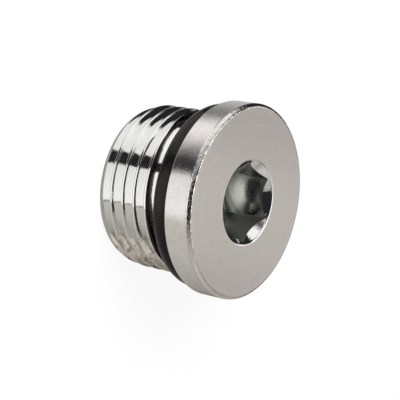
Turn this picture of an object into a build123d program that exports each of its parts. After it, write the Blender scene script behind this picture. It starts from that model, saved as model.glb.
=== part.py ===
"""Hollow hex plug for a straight-thread port, with its seal ring.

Millimetres, +Z up. The plug stands on its thread end: the axis is Z and the origin is the centre
of the end face. From the bottom up it has an end chamfer, the external thread, an undercut and a
collar head. The seal ring lies in the undercut, just below the underside of the head. The hexagon
socket opens upwards in the face of the head.
"""

from build123d import *
import math
import os

# Collar head
head_diameter = 22.0
head_thickness = 3.3
head_face_chamfer = 0.35
head_back_chamfer = 0.2

# Stud below the head, with a 3/4-16 UNF-2A right-hand thread
stud_length = 10.7
thread_major_diameter = 18.9
threads_per_inch = 16
thread_flank_angle = 30.0
thread_crest_flat = 0.25
thread_depth = 0.89
thread_start_angle = 190.0
end_chamfer_depth = 0.55
end_chamfer_length = 1.35

# Undercut between the thread and the head
undercut_depth = 1.16
undercut_width = 3.5

# Seal ring, stretched onto the floor of the undercut, a hair away from it, and just below the head.
# Its round section is drawn with this many flats.
ring_section_diameter = 2.2
ring_section_flats = 16
ring_clearance = 0.01
ring_head_gap = 0.18

# Hexagon socket, 5/16 inch across its flats
socket_across_flats = 7.94
socket_depth = 6.6
socket_mouth_diameter = 9.6
socket_mouth_angle = 90.0
socket_point_angle = 118.0

# Worked out from the sizes above
inch = 25.4
pitch = inch / threads_per_inch
major_radius = thread_major_diameter / 2
root_radius = major_radius - thread_depth
undercut_radius = major_radius - undercut_depth
head_radius = head_diameter / 2
seat_height = stud_length
thread_top = seat_height - undercut_width
face_height = stud_length + head_thickness


def cone_depth(radius, full_angle):
    """How deep a pointed cone of this mouth radius and full angle is."""
    return radius / math.tan(math.radians(full_angle / 2))


def turned_blank():
    """The solid of revolution, before the thread and the socket are cut in it."""
    outline = Polyline(
        (0, 0),
        (major_radius - end_chamfer_depth, 0),
        (major_radius, end_chamfer_length),
        (major_radius, thread_top),
        (undercut_radius, thread_top),
        (undercut_radius, seat_height),
        (head_radius - head_back_chamfer, seat_height),
        (head_radius, seat_height + head_back_chamfer),
        (head_radius, face_height - head_face_chamfer),
        (head_radius - head_face_chamfer, face_height),
        (0, face_height),
        close=True,
    )
    return revolve(Plane.XZ * make_face(outline), Axis.Z)


def groove_half_width(radius):
    """Half the axial width of the V groove at a radius, from the flat of the crest."""
    flank = math.tan(math.radians(thread_flank_angle))
    return (pitch - thread_crest_flat) / 2 - (major_radius - radius) * flank


def groove_turn():
    """One turn of the V groove, wound up from Z = 0. It runs out past the crests into the air."""
    rim_radius = major_radius + thread_crest_flat / 4
    air_radius = major_radius + thread_crest_flat
    root_half = groove_half_width(root_radius)
    rim_half = groove_half_width(rim_radius)
    section = Polyline(
        (root_radius, -root_half),
        (rim_radius, -rim_half),
        (air_radius, -rim_half),
        (air_radius, rim_half),
        (rim_radius, rim_half),
        (root_radius, root_half),
        close=True,
    )
    path = Helix(pitch, pitch, root_radius)
    return sweep(Plane.XZ * make_face(section), path=path, is_frenet=True)


def threaded(blank):
    """Cuts the thread turn by turn, from the undercut down and out through the end face."""
    turn = groove_turn()
    turns = math.ceil((thread_top + groove_half_width(major_radius)) / pitch) + 1
    for number in range(turns):
        blank -= Pos(0, 0, thread_top - number * pitch) * Rot(0, 0, thread_start_angle) * turn
    return blank


def socket_cutter():
    """The hexagon hole, the drill point at its bottom and the countersink at its mouth."""
    down = (Align.CENTER, Align.CENTER, Align.MAX)
    flat_radius = socket_across_flats / 2
    mouth_radius = socket_mouth_diameter / 2
    floor_height = face_height - socket_depth
    hexagon = RegularPolygon(flat_radius, 6, major_radius=False)
    hole = extrude(Plane.XY.offset(floor_height) * hexagon, socket_depth)
    point = Cone(0, flat_radius, cone_depth(flat_radius, socket_point_angle), align=down)
    mouth = Cone(0, mouth_radius, cone_depth(mouth_radius, socket_mouth_angle), align=down)
    return hole + Pos(0, 0, floor_height) * point + Pos(0, 0, face_height) * mouth


def plug_body():
    return threaded(turned_blank()) - socket_cutter()


def o_ring():
    """The ring grips the floor of the undercut, with a narrow gap between it and the head."""
    section_radius = ring_section_diameter / 2
    centre_radius = undercut_radius + ring_clearance + section_radius
    centre_height = seat_height - ring_head_gap - section_radius
    half_flat = 180 / ring_section_flats
    section = RegularPolygon(section_radius, ring_section_flats, major_radius=False, rotation=half_flat)
    return revolve(Plane.XZ * Pos(centre_radius, centre_height) * section, Axis.Z)


os.makedirs("parts", exist_ok=True)
export_step(plug_body(), "parts/plug_body.step")
export_step(o_ring(), "parts/o_ring.step")
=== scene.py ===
"""A hollow hex plug for a straight-thread port, with its black seal ring."""

import math

import bmesh
import bpy
from mathutils import Matrix, Vector


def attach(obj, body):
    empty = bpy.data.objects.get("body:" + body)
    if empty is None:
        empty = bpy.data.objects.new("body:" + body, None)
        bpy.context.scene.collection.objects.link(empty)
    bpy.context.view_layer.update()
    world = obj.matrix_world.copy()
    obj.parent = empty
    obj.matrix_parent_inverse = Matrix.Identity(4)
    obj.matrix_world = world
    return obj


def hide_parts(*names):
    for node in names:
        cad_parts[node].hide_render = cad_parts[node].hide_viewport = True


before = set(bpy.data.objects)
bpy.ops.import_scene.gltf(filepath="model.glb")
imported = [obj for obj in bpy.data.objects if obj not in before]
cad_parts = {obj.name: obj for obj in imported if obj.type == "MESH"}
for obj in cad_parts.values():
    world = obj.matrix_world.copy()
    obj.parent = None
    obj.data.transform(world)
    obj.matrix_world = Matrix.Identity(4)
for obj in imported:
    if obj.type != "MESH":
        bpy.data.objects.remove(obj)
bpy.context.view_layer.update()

# Sizes in millimetres, as the part has them
head_diameter = 22.0
head_thickness = 3.3
head_face_chamfer = 0.35
stud_length = 10.7
thread_major_diameter = 18.9
threads_per_inch = 16
thread_flank_angle = 30.0
thread_crest_flat = 0.25
thread_depth = 0.89
thread_start_angle = 190.0
end_chamfer_depth = 0.55
end_chamfer_length = 1.35
undercut_depth = 1.16
undercut_width = 3.5
ring_section_diameter = 2.2
ring_clearance = 0.01
ring_head_gap = 0.18
socket_across_flats = 7.94
socket_depth = 6.6
socket_mouth_diameter = 9.6
socket_point_angle = 118.0

# The relief where the thread runs out into the undercut: its lowest place, and the slopes that follow on
# both sides, each as degrees round and millimetres up
run_out_angle = -177.0
run_out_lowest = 6.2
run_out_slopes = ((48.0, 0.66), (16.0, 0.12), (20.0, 0.05), (31.0, 0.175))

# Small roundings that the turned edges have
end_rounding = 0.08
crest_rounding = 0.10
root_rounding = 0.04
head_back_rounding = 0.2
side_edge_rounding = 0.08
face_edge_rounding = 0.18
socket_corner_rounding = 0.10
socket_rim_rounding = 0.15

# The larger units in millimetres, and what is worked out from the sizes above
inch = 25.4
metre = 1000
pitch = inch / threads_per_inch
major_radius = thread_major_diameter / 2
root_radius = major_radius - thread_depth
undercut_radius = major_radius - undercut_depth
head_radius = head_diameter / 2
thread_top = stud_length - undercut_width
face_height = stud_length + head_thickness
mouth_radius = socket_mouth_diameter / 2

# How finely round shapes are divided
thread_steps = 256
head_steps = 384
mouth_steps = 256
drill_steps = 128
ring_steps = 256
ring_section_steps = 64
run_out_steps = 40

# How far a shape reaches past the one that it is cut from or joined to
spare = 0.2
overlap = 0.5
reach = 1.0
hair = 0.01
tiny = 0.0001

# Corners that turn by more degrees than this stay sharp
sharp_corner = 28

# The plating's colours, some with painted light and shade in them, and how dark its tarnish gets
thread_metal = (0.865, 0.865, 0.85)
# The neck is lighter than the thread: a painted highlight.
lit_neck_metal = (0.97, 0.97, 0.96)
side_metal = (0.81, 0.78, 0.755)
# The face is darker than the side: painted shade.
shaded_face_metal = (0.69, 0.667, 0.648)
# The socket is darker, and darker still deep down: painted shade in the hole.
shaded_socket_metal = (0.65, 0.65, 0.632)
deep_socket_shade = (0.54, 0.558, 0.542)
tarnish_colours = [
    (0.30, (0.96, 0.87, 0.84)),
    (0.43, (0.90, 0.84, 0.80)),
    (0.48, (0.64, 0.62, 0.55)),
    (0.53, (0.80, 0.76, 0.69)),
    (0.60, (0.46, 0.43, 0.34)),
    (0.68, (0.26, 0.23, 0.17)),
]

# How much lighter or darker the metal is than its colour, in patches, in its grain and in turning marks
side_patches = (0.93, 1.02)
side_grain = (-0.055, 0.055)
face_patches = (0.955, 0.975)
face_grain = (-0.08, 0.08)
face_arcs = 0.055

# The roughness of each finish
thread_roughness = (0.04, 0.08)
side_roughness = (0.09, 0.17)
edge_roughness = 0.06
neck_roughness = 0.03
face_roughness = (0.285, 0.32)
socket_roughness = (0.09, 0.13)
rubbed_roughness = 0.20

# How high the marks in the plating stand, in millimetres
thread_waves = 0.010
side_patch_relief = 0.005
side_grain_relief = 0.007
face_arc_relief = 0.0015
face_grain_relief = 0.0018
edge_nicks = 0.055
broaching_marks = 0.004
chatter_marks = 0.02

# The way from the axis to the tarnished side, the way along that side, and the way to one flat of the socket
tarnished_side = (0.978, -0.206, 0)
along_tarnish = (0.206, 0.978, 0)
rubbed_flat = (0.866, 0.5, 0)

# The two blacks of the rubber, the brown of its shine, and its roughness
rubber_black = (0.002, 0.0017, 0.0014)
smeared_black = (0.004, 0.0034, 0.0028)
rubber_shine = (1.0, 0.94, 0.88, 1)
smear_roughness = (0.18, 0.27)
skin_roughness = (-0.03, 0.03)

# Where a noise has nearly all its values, and where it has most of them
wide_middle = (0.25, 0.75)
middle = (0.3, 0.7)

# The camera, in metres and degrees, with its lens in millimetres
camera_aim = Vector((0.000755, 0.000074, 0.007324))
camera_distance = 0.147855
camera_bearing = -101.915
camera_rise = 35.213
camera_roll = 100.804
camera_lens = 116.92

# The floor and the lamp, in metres
floor_radius = 0.6
floor_drop = 0.00002
floor_white = (0.8, 0.8, 0.8, 1)
lamp_size = 0.3
lamp_power = 4
lamp_place = Vector((-0.3, -0.2, 0.4))
lamp_aim = Vector((0, 0, 0.007))

# The room that the plating mirrors. Each zone of height has panels, given as a bearing and a colour, where
# a single number is a grey. Bearings are in degrees from the camera's side, clockwise from above. A zone
# takes over from what is below it between two heights, which are sines of the angle above the horizon.
# Straight below is the ground.
room_turn = 101.9
dark = (0.02, 0.02, 0.022)
ground = (0.36, 0.35, 0.33)
below = [
    (-180, (0.18, 0.17, 0.16)), (-163, (0.20, 0.19, 0.18)), (-150, (0.33, 0.32, 0.30)),
    (-125, (0.43, 0.42, 0.40)), (-80, (0.57, 0.56, 0.54)), (-38, (0.66, 0.63, 0.61)),
    (-27, (1.04, 1.03, 1.02)), (16, 0.92), (22, 0.05), (38, 0.06), (50, 0.33), (62, (0.78, 0.77, 0.77)),
    (76, (1.04, 1.03, 1.03)), (88, 1.0), (98, 0.54), (108, 0.24), (118, 0.29), (132, (0.44, 0.43, 0.44)),
    (145, (0.54, 0.51, 0.53)), (180, (0.60, 0.57, 0.59)),
]
level = [
    (-180, (0.10, 0.095, 0.09)), (-168, (0.12, 0.115, 0.11)), (-150, (0.50, 0.48, 0.45)),
    (-128, (0.46, 0.44, 0.41)), (-108, (0.38, 0.36, 0.31)), (-64, (0.52, 0.51, 0.47)),
    (-33, (0.66, 0.64, 0.60)), (-32.5, dark), (-31.5, dark), (-31, (1.15, 1.15, 1.14)), (-8, 1.08),
    (19.5, 0.96), (21, dark), (38.5, dark), (40, 1.0), (64, 1.08), (100, 0.92), (108, dark), (160, dark),
    (170, 0.06), (180, (0.10, 0.095, 0.09)),
]
above = [
    (-180, (0.55, 0.53, 0.51)), (-162, (0.52, 0.50, 0.48)), (-146, (0.30, 0.28, 0.25)),
    (-132, (0.28, 0.265, 0.24)), (-123, (0.50, 0.48, 0.45)), (-114, (0.64, 0.61, 0.58)),
    (-98, (0.60, 0.58, 0.55)), (-60, (0.42, 0.41, 0.39)), (-34, 0.5), (-30, 1.05), (20, 1.0), (22, dark),
    (38, dark), (40, 0.9), (64, 1.05), (113, 1.0), (116, dark), (141, dark), (149, (1.0, 0.96, 0.92)),
    (158, (1.15, 1.1, 1.05)), (168, (0.62, 0.60, 0.58)), (180, (0.48, 0.46, 0.45)),
]
upper = [
    (-180, (1.3, 1.27, 1.23)), (-165, (0.95, 0.92, 0.89)), (-150, (0.5, 0.48, 0.47)),
    (-132, (0.4, 0.385, 0.37)), (-116, (0.66, 0.63, 0.61)), (-104, (0.64, 0.61, 0.59)),
    (-78, (0.5, 0.48, 0.47)), (-60, (0.5, 0.48, 0.47)), (-52, dark), (0, dark), (18, 0.45), (48, 0.7),
    (60, 0.2), (68, 0.1), (76, 0.3), (86, 0.85), (109, 0.95), (112.5, dark), (124, dark),
    (136, (0.6, 0.58, 0.56)), (142, (1.5, 1.42, 1.36)), (150, (2.2, 2.09, 2.0)), (160, (2.5, 2.37, 2.27)),
    (170, (1.9, 1.8, 1.73)), (180, (1.3, 1.27, 1.23)),
]
overhead = [
    (-180, (2.65, 2.52, 2.42)), (-168, (2.0, 1.91, 1.83)), (-157, (1.2, 1.15, 1.1)),
    (-149, (0.8, 0.77, 0.74)), (-138, (0.5, 0.48, 0.46)), (-64, (0.3, 0.29, 0.28)), (-56, dark), (40, dark),
    (50, 0.5), (78, 0.6), (88, 1.0), (108, 1.0), (112, dark), (127, dark), (136, (1.15, 1.1, 1.05)),
    (143, (2.4, 2.28, 2.2)), (155, (2.8, 2.66, 2.55)), (180, (2.65, 2.52, 2.42)),
]
zones = [
    ((-0.90, -0.85), below),
    ((-0.53, -0.47), level),
    ((0.20, 0.28), above),
    ((0.65, 0.69), upper),
    ((0.785, 0.805), overhead),
]

# Straight overhead the last zone goes on only past a straight edge. On its other side the ceiling is dark.
ceiling_dark = (0.03, 0.03, 0.03)
ceiling_start = (0.92, 0.94)
ceiling_edge = (0.045, 0.065)
ceiling_edge_way = (-0.960, -0.084, -0.267)


def chain(points):
    """A wire of straight edges through points given as (radius, height)."""
    bm = bmesh.new()
    verts = [bm.verts.new((radius, 0, height)) for radius, height in points]
    for start, end in zip(verts, verts[1:]):
        bm.edges.new((start, end))
    return bm


def corners_at(bm, radius):
    """The numbers of a wire's corners at one radius, from the lowest."""
    bm.verts.index_update()
    found = [vert for vert in bm.verts if abs(vert.co.x - radius) < tiny]
    return [vert.index for vert in sorted(found, key=lambda vert: vert.co.z)]


def rounded(bm, corners, offset, segments):
    """Rounds the numbered corners of a wire."""
    bm.verts.index_update()
    bm.verts.ensure_lookup_table()
    geom = [bm.verts[number] for number in corners]
    bmesh.ops.bevel(
        bm, geom=geom, offset=offset, offset_type="OFFSET", segments=segments,
        profile=0.5, affect="VERTICES", material=-1, clamp_overlap=True,
    )
    bm.verts.index_update()


def closed(bm):
    """Merges doubles, fills what is open and turns the faces outwards."""
    bmesh.ops.remove_doubles(bm, verts=bm.verts[:], dist=tiny)
    edges = [edge for edge in bm.edges if edge.is_boundary]
    bmesh.ops.holes_fill(bm, edges=edges, sides=0)
    bmesh.ops.recalc_face_normals(bm, faces=bm.faces[:])


def spun(bm, steps, rise=0.0):
    """Spins a wire once round Z. A rise makes it climb, as a thread does."""
    bmesh.ops.spin(
        bm, geom=bm.verts[:] + bm.edges[:], cent=(0, 0, 0), axis=(0, 0, 1), dvec=(0, 0, rise / steps),
        angle=math.tau, steps=steps, use_merge=rise == 0,
    )
    closed(bm)


def as_object(bm, name):
    """Makes a bmesh an object in the scene, and frees it."""
    mesh = bpy.data.meshes.new(name)
    bm.to_mesh(mesh)
    bm.free()
    piece = bpy.data.objects.new(name, mesh)
    bpy.context.scene.collection.objects.link(piece)
    return piece


def joined(first, second, operation):
    """Changes the first piece by the second, which is used up."""
    step = first.modifiers.new("join", "BOOLEAN")
    step.operation = operation
    step.solver = "MANIFOLD"
    step.object = second
    depsgraph = bpy.context.evaluated_depsgraph_get()
    result = bpy.data.meshes.new_from_object(first.evaluated_get(depsgraph))
    first.modifiers.clear()
    first.data = result
    bpy.data.objects.remove(second)
    return first


def threaded_bar():
    """A bar with the thread all along it, longer than the stud at both ends."""
    half_crest = thread_crest_flat / 2
    half_root = pitch / 2 - half_crest - thread_depth * math.tan(math.radians(thread_flank_angle))
    top_groove = thread_top + (1 - thread_start_angle / 360) * pitch
    turns = math.ceil(thread_top / pitch) + 2
    points = []
    for number in range(turns, -1, -1):
        groove = top_groove - number * pitch
        points.append((root_radius, groove - half_root))
        points.append((root_radius, groove + half_root))
        points.append((major_radius, groove + pitch / 2 - half_crest))
        points.append((major_radius, groove + pitch / 2 + half_crest))
    bm = chain([(0, points[0][1]), *points, (0, points[-1][1])])
    for radius, rounding in ((root_radius, root_rounding), (major_radius, crest_rounding)):
        rounded(bm, corners_at(bm, radius)[1:-1], rounding, segments=4)
    spun(bm, thread_steps, pitch)
    return as_object(bm, "threaded_bar")


def run_out_cutter():
    """Where the thread tool leaves the last groove, its lower wall drops straight to the undercut."""
    inner = undercut_radius + hair
    outer = major_radius + 2 * spare
    top = thread_top + 1.5 * spare
    bm = chain([
        (inner, run_out_lowest), (outer, run_out_lowest), (outer, top), (inner, top), (inner, run_out_lowest),
    ])
    bmesh.ops.remove_doubles(bm, verts=bm.verts[:], dist=tiny)
    start = bm.verts[:] + bm.edges[:]
    for way in (1, -1):
        section = start
        for sweep, rise in run_out_slopes:
            swept = bmesh.ops.spin(
                bm, geom=section, cent=(0, 0, 0), axis=(0, 0, 1), dvec=(0, 0, rise / run_out_steps),
                angle=math.radians(sweep * way), steps=run_out_steps, use_merge=False,
            )
            section = swept["geom_last"]
    closed(bm)
    turn = Matrix.Rotation(math.radians(run_out_angle), 3, "Z")
    bmesh.ops.rotate(bm, verts=bm.verts[:], cent=(0, 0, 0), matrix=turn)
    return as_object(bm, "run_out_cutter")


def stud_envelope():
    """What the stud keeps of the threaded bar: its length, with the chamfered end."""
    bm = chain([
        (0, 0),
        (major_radius - end_chamfer_depth, 0),
        (major_radius + spare, end_chamfer_length * (1 + spare / end_chamfer_depth)),
        (major_radius + spare, thread_top),
        (0, thread_top),
    ])
    rounded(bm, [1], end_rounding, segments=4)
    spun(bm, thread_steps)
    return as_object(bm, "stud_envelope")


def head_and_neck():
    """The collar head and the undercut below it, which reaches a little into the threaded stud."""
    neck_foot = thread_top - overlap
    bm = chain([
        (0, neck_foot),
        (undercut_radius, neck_foot),
        (undercut_radius, stud_length),
        (head_radius, stud_length),
        (head_radius, face_height - head_face_chamfer),
        (head_radius - head_face_chamfer, face_height),
        (0, face_height),
    ])
    rounded(bm, corners_at(bm, head_radius - head_face_chamfer), face_edge_rounding, segments=6)
    rounded(bm, corners_at(bm, head_radius)[-1:], side_edge_rounding, segments=5)
    rounded(bm, corners_at(bm, head_radius)[:1], head_back_rounding, segments=5)
    spun(bm, head_steps)
    return as_object(bm, "head_and_neck")


def socket_cutter():
    """The hexagon hole, with one corner towards X and its corners slightly rounded."""
    bm = bmesh.new()
    corner_radius = socket_across_flats / math.sqrt(3)
    height = socket_depth + reach
    place = Matrix.Translation((0, 0, face_height - socket_depth + height / 2))
    bmesh.ops.create_cone(
        bm, cap_ends=True, segments=6, radius1=corner_radius, radius2=corner_radius, depth=height,
        matrix=place,
    )
    corner = max(bm.verts, key=lambda vert: vert.co.x)
    turn = -math.atan2(corner.co.y, corner.co.x)
    bmesh.ops.rotate(bm, verts=bm.verts[:], cent=(0, 0, 0), matrix=Matrix.Rotation(turn, 3, "Z"))
    upright = [edge for edge in bm.edges if abs(edge.verts[0].co.z - edge.verts[1].co.z) > tiny]
    bmesh.ops.bevel(
        bm, geom=upright, offset=socket_corner_rounding, offset_type="OFFSET", segments=4,
        profile=0.5, affect="EDGES", material=-1,
    )
    return as_object(bm, "socket_cutter")


def mouth_cutter():
    """The countersink, with a slightly rounded rim where it meets the face."""
    bm = chain([
        (0, face_height - mouth_radius),
        (mouth_radius, face_height),
        (mouth_radius + reach, face_height + 2 * hair),
        (mouth_radius + reach, face_height + reach),
        (0, face_height + reach),
    ])
    rounded(bm, [1], socket_rim_rounding, segments=6)
    spun(bm, mouth_steps)
    return as_object(bm, "mouth_cutter")


def drill_cutter():
    """The drill point at the bottom of the socket."""
    flat_radius = socket_across_flats / 2
    floor = face_height - socket_depth
    point = floor - flat_radius / math.tan(math.radians(socket_point_angle / 2))
    bm = chain([(0, point), (flat_radius, floor), (flat_radius, floor + overlap), (0, floor + overlap)])
    spun(bm, drill_steps)
    return as_object(bm, "drill_cutter")


def finished(piece):
    """Shades curved faces smooth and flat ones flat, then brings the piece from millimetres to metres."""
    piece.data.shade_smooth()
    piece.data.set_sharp_from_angle(angle=math.radians(sharp_corner))
    even = piece.modifiers.new("even_shading", "WEIGHTED_NORMAL")
    even.mode = "FACE_AREA"
    even.weight = 100
    even.keep_sharp = True
    depsgraph = bpy.context.evaluated_depsgraph_get()
    shaded = bpy.data.meshes.new_from_object(piece.evaluated_get(depsgraph))
    piece.modifiers.clear()
    piece.data = shaded
    piece.data.transform(Matrix.Scale(1 / metre, 4))
    return piece


def threaded_plug():
    """The plug in one piece: head, undercut, threaded stud and socket."""
    stud = joined(threaded_bar(), stud_envelope(), "INTERSECT")
    body = joined(head_and_neck(), stud, "UNION")
    for cutter in (run_out_cutter(), socket_cutter(), mouth_cutter(), drill_cutter()):
        body = joined(body, cutter, "DIFFERENCE")
    body.name = "threaded_plug"
    return finished(body)


def seal_ring():
    """The round ring grips the undercut's floor and leaves a narrow gap to the head."""
    section_radius = ring_section_diameter / 2
    centre_radius = undercut_radius + ring_clearance + section_radius
    centre_height = stud_length - ring_head_gap - section_radius
    bm = bmesh.new()
    place = Matrix.Translation((centre_radius, 0, centre_height)) @ Matrix.Rotation(math.pi / 2, 4, "X")
    bmesh.ops.create_circle(bm, segments=ring_section_steps, radius=section_radius, matrix=place)
    spun(bm, ring_steps)
    return finished(as_object(bm, "seal_ring"))


def node(tree, kind, inputs=None, **settings):
    """Adds a shader node. A number, colour or vector in inputs is set, and a socket is linked."""
    made = tree.nodes.new(kind)
    for name, value in settings.items():
        setattr(made, name, value)
    for key, value in (inputs or {}).items():
        if isinstance(value, bpy.types.NodeSocket):
            tree.links.new(value, made.inputs[key])
        else:
            made.inputs[key].default_value = value
    return made


def math_node(tree, operation, first, second=0.0, third=0.0):
    return node(tree, "ShaderNodeMath", {0: first, 1: second, 2: third}, operation=operation).outputs[0]


def times(tree, first, second):
    return math_node(tree, "MULTIPLY", first, second)


def plus(tree, first, second):
    return math_node(tree, "ADD", first, second)


def along(tree, place, way):
    """How far a place lies in one direction."""
    return node(tree, "ShaderNodeVectorMath", {0: place, 1: way}, operation="DOT_PRODUCT").outputs["Value"]


def ramped(tree, value, limits, results=(0.0, 1.0)):
    """Changes smoothly from the first result to the second as the value goes from limit to limit."""
    low, high = limits
    start, end = results
    inputs = {"Value": value, "From Min": low, "From Max": high, "To Min": start, "To Max": end}
    return node(tree, "ShaderNodeMapRange", inputs, interpolation_type="SMOOTHSTEP").outputs["Result"]


def noise(tree, coords, scale, detail, roughness):
    inputs = {"Vector": coords, "Scale": scale, "Detail": detail, "Roughness": roughness}
    return node(tree, "ShaderNodeTexNoise", inputs).outputs["Fac"]


def blended(tree, factor, first, second):
    """A number that goes from the first to the second as the factor goes from 0 to 1."""
    return node(tree, "ShaderNodeMix", {0: factor, 2: first, 3: second}, data_type="FLOAT").outputs[0]


def tinted(tree, factor, first, second):
    """A colour that goes from the first to the second. Each is a socket, or red, green and blue."""
    sockets = {0: factor}
    for key, colour in ((6, first), (7, second)):
        sockets[key] = colour if isinstance(colour, bpy.types.NodeSocket) else (*colour, 1)
    return node(tree, "ShaderNodeMix", sockets, data_type="RGBA").outputs[2]


def coloured(tree, value, steps):
    """Turns a value from 0 to 1 into a colour. Each step is a value and its colour."""
    ramp = node(tree, "ShaderNodeValToRGB", {"Fac": value})
    stops = ramp.color_ramp.elements
    while len(stops) > 1:
        stops.remove(stops[-1])
    for number, (position, colour) in enumerate(steps):
        stop = stops.new(position) if number else stops[0]
        stop.position = position
        stop.color = (*colour, 1)
    return ramp.outputs["Color"]


def new_material(name):
    """A material, its node tree and its main shader."""
    material = bpy.data.materials.new(name)
    material.use_nodes = True
    tree = material.node_tree
    return material, tree, tree.nodes["Principled BSDF"]


def centred_millimetres(tree):
    """Object coordinates in millimetres, and from them the distance from the axis and the height."""
    coords = node(tree, "ShaderNodeTexCoord").outputs["Object"]
    place = node(tree, "ShaderNodeMapping", {"Vector": coords, "Scale": (metre, metre, metre)}).outputs[0]
    parts = node(tree, "ShaderNodeSeparateXYZ", {"Vector": place}).outputs
    flat = node(tree, "ShaderNodeCombineXYZ", {0: parts["X"], 1: parts["Y"]}).outputs[0]
    radius = node(tree, "ShaderNodeVectorMath", {0: flat}, operation="LENGTH").outputs["Value"]
    return place, radius, parts["Z"]


def plug_areas(tree, radius, height):
    """How much a point belongs to each area of the plug that has its own finish, from 0 to 1."""
    # Each area starts softly, between two places in millimetres.
    face_start = (face_height - 0.012, face_height - 0.003)
    head_start = (head_radius - 0.57, head_radius - 0.54)
    edge_start = (face_height - 0.55, face_height - 0.40)
    neck_start = (5.0, 5.5)
    neck_margin = 0.05
    rim_start = (4.66, 4.72)
    cone_start = (face_height - mouth_radius - 0.08, face_height - mouth_radius - 0.03)

    face = ramped(tree, height, face_start)
    head = ramped(tree, radius, head_start)
    below_face = math_node(tree, "SUBTRACT", 1, face)
    near_neck = math_node(tree, "COMPARE", radius, undercut_radius, neck_margin)
    inside_rim = ramped(tree, radius, rim_start, (1, 0))
    from_cone = math_node(tree, "SUBTRACT", height, radius)
    return {
        "face": face,
        "head": head,
        "edge": times(tree, times(tree, head, ramped(tree, height, edge_start)), below_face),
        "neck": times(tree, near_neck, ramped(tree, height, neck_start)),
        "socket": times(tree, inside_rim, ramped(tree, from_cone, cone_start, (1, 0))),
        "cone": times(tree, inside_rim, ramped(tree, from_cone, cone_start)),
    }


def plating_marks(tree, place, radius):
    """The uneven patches, the fine grain and the turning marks of the plating."""
    round_axis = node(tree, "ShaderNodeCombineXYZ", {0: radius}).outputs[0]
    rings = noise(tree, round_axis, scale=2.6, detail=3, roughness=0.65)
    cloud = noise(tree, place, scale=0.35, detail=2, roughness=0.5)
    fading = ramped(tree, cloud, (0.35, 0.65), (0.25, 1.0))
    return {
        "patches": noise(tree, place, scale=1.1, detail=4, roughness=0.6),
        "grain": noise(tree, place, scale=5.5, detail=3, roughness=0.6),
        "arcs": times(tree, ramped(tree, rings, wide_middle, (-1, 1)), fading),
    }


def tarnish(tree, place, height):
    """How much tarnish a point has, and its colour, with painted shade on the crests at the far edge of the
    tarnished side. Its streaks follow the turns of the thread.
    """
    side = along(tree, place, tarnished_side)
    streak_place = node(tree, "ShaderNodeCombineXYZ", {
        0: times(tree, side, 0.5),
        1: times(tree, along(tree, place, along_tarnish), 0.45),
        2: times(tree, height, 1.3),
    }).outputs[0]
    streaks = noise(tree, streak_place, scale=1.0, detail=5, roughness=0.72)
    streaks = math_node(tree, "MULTIPLY_ADD", streaks, 1.35, -0.175)
    # The crests at the far edge of that side get darker: painted shade along the thread's outline.
    outline_shade = ramped(tree, side, (8.9, 9.35), (0, 0.12))
    near_head = ramped(tree, height, (5.0, 8.5), (0, 0.10))
    on_stud = ramped(tree, height, (9.5, 10.0), (1, 0))
    amount = times(tree, times(tree, ramped(tree, side, (4.0, 8.5)), on_stud), 0.9)
    darkness = plus(tree, streaks, plus(tree, outline_shade, near_head))
    return amount, coloured(tree, darkness, tarnish_colours)


def plating_colour(tree, place, height, areas, marks):
    """The metal's colour in each area, with its tarnish and its lighter and darker places, where the neck,
    the face and the socket have painted light and shade.
    """
    stained, tarnish_colour = tarnish(tree, place, height)
    # Deeper in the socket the colour gets darker: painted shade.
    deep = ramped(tree, height, (face_height - 0.8, face_height - 6.0))
    # The neck gets a lighter colour, as a painted highlight.
    colour = tinted(tree, areas["neck"], thread_metal, lit_neck_metal)
    colour = tinted(tree, areas["head"], colour, side_metal)
    colour = tinted(tree, areas["face"], colour, shaded_face_metal)
    colour = tinted(tree, areas["socket"], colour, tinted(tree, deep, shaded_socket_metal, deep_socket_shade))
    colour = tinted(tree, stained, colour, tarnish_colour)

    # The head is a little uneven, and its face is darker towards three of its sides as painted shade.
    patches = marks["patches"]
    grain = marks["grain"]
    side_tone = ramped(tree, patches, middle, side_patches)
    side_tone = plus(tree, side_tone, ramped(tree, grain, wide_middle, side_grain))
    face_tone = ramped(tree, patches, middle, face_patches)
    face_tone = plus(tree, face_tone, ramped(tree, grain, wide_middle, face_grain))
    face_tone = plus(tree, face_tone, times(tree, marks["arcs"], face_arcs))
    across = along(tree, place, tarnished_side)
    painted_face_shade = plus(tree, ramped(tree, across, (-10, 0), (-0.20, 0)), ramped(tree, across, (4, 11), (0, -0.11)))
    painted_face_shade = plus(tree, painted_face_shade, ramped(tree, along(tree, place, along_tarnish), (-11, 11), (-0.05, 0.06)))
    face_tone = plus(tree, face_tone, painted_face_shade)
    satin = math_node(tree, "MAXIMUM", areas["face"], areas["head"])
    tone = blended(tree, satin, 1.0, blended(tree, areas["face"], side_tone, face_tone))
    return node(tree, "ShaderNodeVectorMath", {0: colour, "Scale": tone}, operation="SCALE").outputs["Vector"]


def plating_roughness(tree, place, areas, marks):
    thread = ramped(tree, marks["patches"], middle, thread_roughness)
    side = ramped(tree, marks["patches"], middle, side_roughness)
    face = ramped(tree, marks["arcs"], (-1, 1), face_roughness)
    socket = ramped(tree, marks["grain"], middle, socket_roughness)
    rubbed = ramped(tree, along(tree, place, rubbed_flat), (3.9, 3.95), (0, rubbed_roughness))
    roughness = blended(tree, areas["head"], thread, side)
    roughness = blended(tree, areas["edge"], roughness, edge_roughness)
    roughness = blended(tree, areas["neck"], roughness, neck_roughness)
    roughness = blended(tree, areas["face"], roughness, face)
    return blended(tree, areas["socket"], roughness, plus(tree, socket, rubbed))


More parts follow.
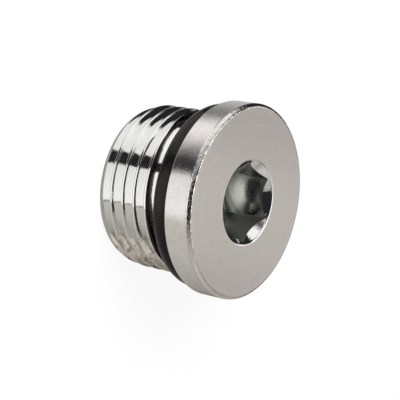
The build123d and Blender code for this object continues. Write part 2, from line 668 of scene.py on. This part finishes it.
def plating_relief(tree, place, areas, marks):
    """The plating is wavy on the thread, grained on the head, and nicked along the edge of the face."""
    patches = marks["patches"]
    grain = marks["grain"]
    waved = times(tree, noise(tree, place, scale=0.9, detail=2, roughness=0.5), thread_waves)
    grained = plus(tree, times(tree, patches, side_patch_relief), times(tree, grain, side_grain_relief))
    turned = plus(tree, times(tree, marks["arcs"], face_arc_relief), times(tree, grain, face_grain_relief))
    nicked = times(tree, noise(tree, place, scale=3.0, detail=3, roughness=0.6), edge_nicks)
    stretched = node(tree, "ShaderNodeMapping", {"Vector": place, "Scale": (6, 6, 0.35)}).outputs[0]
    broached = times(tree, noise(tree, stretched, scale=1.0, detail=2, roughness=0.5), broaching_marks)
    chattered = times(tree, noise(tree, place, scale=1.8, detail=2, roughness=0.5), chatter_marks)
    relief = blended(tree, areas["head"], waved, grained)
    relief = blended(tree, areas["face"], relief, turned)
    relief = blended(tree, areas["edge"], relief, nicked)
    relief = blended(tree, areas["socket"], relief, broached)
    relief = blended(tree, areas["cone"], relief, chattered)
    inputs = {"Height": relief, "Strength": 1.0, "Distance": 1 / metre}
    return node(tree, "ShaderNodeBump", inputs).outputs["Normal"]


def plated_steel():
    """Bright zinc plating: like a mirror on the thread, satin on the head, and in the socket darker by
    painted shade.
    """
    material, tree, shader = new_material("plated_steel")
    place, radius, height = centred_millimetres(tree)
    areas = plug_areas(tree, radius, height)
    marks = plating_marks(tree, place, radius)
    tree.links.new(plating_colour(tree, place, height, areas, marks), shader.inputs["Base Color"])
    tree.links.new(plating_roughness(tree, place, areas, marks), shader.inputs["Roughness"])
    tree.links.new(plating_relief(tree, place, areas, marks), shader.inputs["Normal"])
    shader.inputs["Metallic"].default_value = 1
    return material


def black_rubber():
    """Moulded rubber with a fine skin, slightly brown where it catches the light."""
    material, tree, shader = new_material("black_rubber")
    place = centred_millimetres(tree)[0]
    skin = noise(tree, place, scale=4.0, detail=4, roughness=0.6)
    smears = noise(tree, place, scale=0.6, detail=3, roughness=0.55)
    tree.links.new(tinted(tree, smears, rubber_black, smeared_black), shader.inputs["Base Color"])
    roughness = ramped(tree, smears, middle, smear_roughness)
    roughness = plus(tree, roughness, ramped(tree, skin, middle, skin_roughness))
    tree.links.new(roughness, shader.inputs["Roughness"])
    shader.inputs["Specular IOR Level"].default_value = 0.33
    shader.inputs["Specular Tint"].default_value = rubber_shine
    inputs = {"Height": skin, "Strength": 0.35, "Distance": 0.02 / metre}
    tree.links.new(node(tree, "ShaderNodeBump", inputs).outputs["Normal"], shader.inputs["Normal"])
    return material


def add_camera():
    data = bpy.data.cameras.new("camera")
    data.sensor_width = 36
    data.lens = camera_lens
    data.clip_start = 0.01
    camera = bpy.data.objects.new("camera", data)
    bpy.context.scene.collection.objects.link(camera)
    turn = Matrix.Rotation(math.radians(camera_bearing + 90), 4, "Z")
    turn @= Matrix.Rotation(math.radians(90 - camera_rise), 4, "X")
    turn @= Matrix.Rotation(math.radians(camera_roll), 4, "Z")
    back = turn.col[2].to_3d()
    camera.matrix_world = Matrix.Translation(camera_aim + camera_distance * back) @ turn
    bpy.context.scene.camera = camera


def add_floor():
    """A plain white floor. It shows white, and keeps a little of the shadow."""
    bm = bmesh.new()
    bmesh.ops.create_circle(bm, cap_ends=True, segments=96, radius=floor_radius)
    floor = as_object(bm, "floor")
    floor.location.z = -floor_drop
    floor.visible_glossy = False
    material, tree, shader = new_material("floor_white")
    shader.inputs["Base Color"].default_value = floor_white
    shader.inputs["Roughness"].default_value = 0.9
    glow = node(tree, "ShaderNodeEmission", {"Strength": 1.0}).outputs[0]
    seen = node(tree, "ShaderNodeLightPath").outputs["Is Camera Ray"]
    share = times(tree, seen, 0.9)
    mix = node(tree, "ShaderNodeMixShader", {0: share, 1: shader.outputs[0], 2: glow}).outputs[0]
    tree.links.new(mix, tree.nodes["Material Output"].inputs["Surface"])
    floor.data.materials.append(material)


def panels(tree, turn, bands):
    """The colours of one zone of the room. The turn goes from 0 to 1, at the bearings -180 and 180."""
    steps = []
    for bearing, colour in bands:
        steps.append((bearing / 360 + 0.5, colour if isinstance(colour, tuple) else (colour,) * 3))
    return coloured(tree, turn, steps)


def add_room():
    """The world: what the plating mirrors, and white where the camera looks past the plug."""
    world = bpy.data.worlds.new("studio")
    world.use_nodes = True
    tree = world.node_tree
    coords = node(tree, "ShaderNodeTexCoord").outputs["Generated"]
    rotation = (0, 0, math.radians(room_turn))
    turned = node(tree, "ShaderNodeMapping", {"Vector": coords, "Rotation": rotation}).outputs[0]
    way = node(tree, "ShaderNodeSeparateXYZ", {"Vector": turned}).outputs
    bearing = math_node(tree, "ARCTAN2", times(tree, way["Y"], -1), way["X"])
    turn = math_node(tree, "MULTIPLY_ADD", bearing, 1 / math.tau, 0.5)
    colour = ground
    for start, bands in zones:
        zone_colour = panels(tree, turn, bands)
        colour = tinted(tree, ramped(tree, way["Z"], start), colour, zone_colour)
    behind_edge = ramped(tree, along(tree, turned, ceiling_edge_way), ceiling_edge)
    ceiling = tinted(tree, behind_edge, ceiling_dark, zone_colour)
    colour = tinted(tree, ramped(tree, way["Z"], ceiling_start), colour, ceiling)
    seen = node(tree, "ShaderNodeLightPath").outputs["Is Camera Ray"]
    colour = tinted(tree, seen, colour, (1, 1, 1))
    tree.links.new(colour, tree.nodes["Background"].inputs["Color"])
    bpy.context.scene.world = world


def add_lamp():
    data = bpy.data.lights.new("soft_box", "AREA")
    data.shape = "RECTANGLE"
    data.size = lamp_size
    data.size_y = lamp_size
    data.energy = lamp_power
    lamp = bpy.data.objects.new("soft_box", data)
    bpy.context.scene.collection.objects.link(lamp)
    lamp.visible_glossy = False
    lamp.location = lamp_place
    lamp.rotation_euler = (lamp_aim - lamp_place).to_track_quat("-Z", "Y").to_euler()


body = threaded_plug()
body.data.materials.clear()
body.data.materials.append(plated_steel())
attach(body, "root")
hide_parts("plug_body")

ring = seal_ring()
ring.data.materials.clear()
ring.data.materials.append(black_rubber())
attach(ring, "root")
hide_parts("o_ring")

add_camera()
add_floor()
add_room()
add_lamp()

bpy.context.scene.view_settings.view_transform = "Standard"
